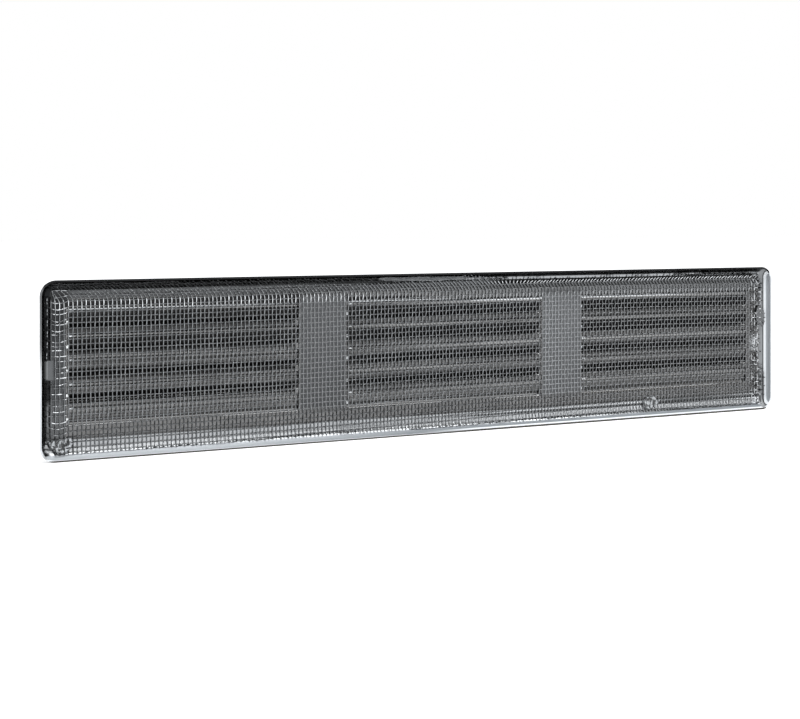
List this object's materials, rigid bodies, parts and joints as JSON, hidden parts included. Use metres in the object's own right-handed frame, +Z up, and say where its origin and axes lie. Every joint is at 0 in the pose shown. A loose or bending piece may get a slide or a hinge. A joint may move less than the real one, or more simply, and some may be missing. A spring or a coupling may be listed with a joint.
{
  "type": "ventilation grille",
  "caption": "Long pressed steel ventilation grille with banks of slim louvres, a turned-back edge and an insect screen laid in its back.",
  "frame": {"origin": "centre of the plane of the back rim, which sits on the wall, in the middle of the wall opening", "axes": "-Y out of the wall towards the louvred front, +Z up, +X along the length; each louvre hood is closed along its upper side and open downward"},
  "size_m": [0.3, 0.0072, 0.06],
  "materials": {
    "plate_steel": "satin rolled stainless sheet",
    "screen_wire": "drawn wire",
    "adhesive": "clear set adhesive"
  },
  "bodies": {
    "root": {"louvre_plate": "plate_steel", "warp_end_1": "screen_wire", "warp_bank_1": "screen_wire", "warp_gap_1": "screen_wire", "warp_bank_2": "screen_wire", "warp_gap_2": "screen_wire", "warp_bank_3": "screen_wire", "warp_end_2": "screen_wire", "warp_wall": "screen_wire", "weft_top_wall": "screen_wire", "weft_top_margin": "screen_wire", "weft_row_1": "screen_wire", "weft_row_2": "screen_wire", "weft_row_3": "screen_wire", "weft_row_4": "screen_wire", "weft_row_5": "screen_wire", "weft_bottom_margin": "screen_wire", "weft_bottom_wall": "screen_wire", "glue_strip": "adhesive", "glue_bottom": "adhesive", "glue_corner": "adhesive", "glue_side": "adhesive"}
  },
  "joints": []
}
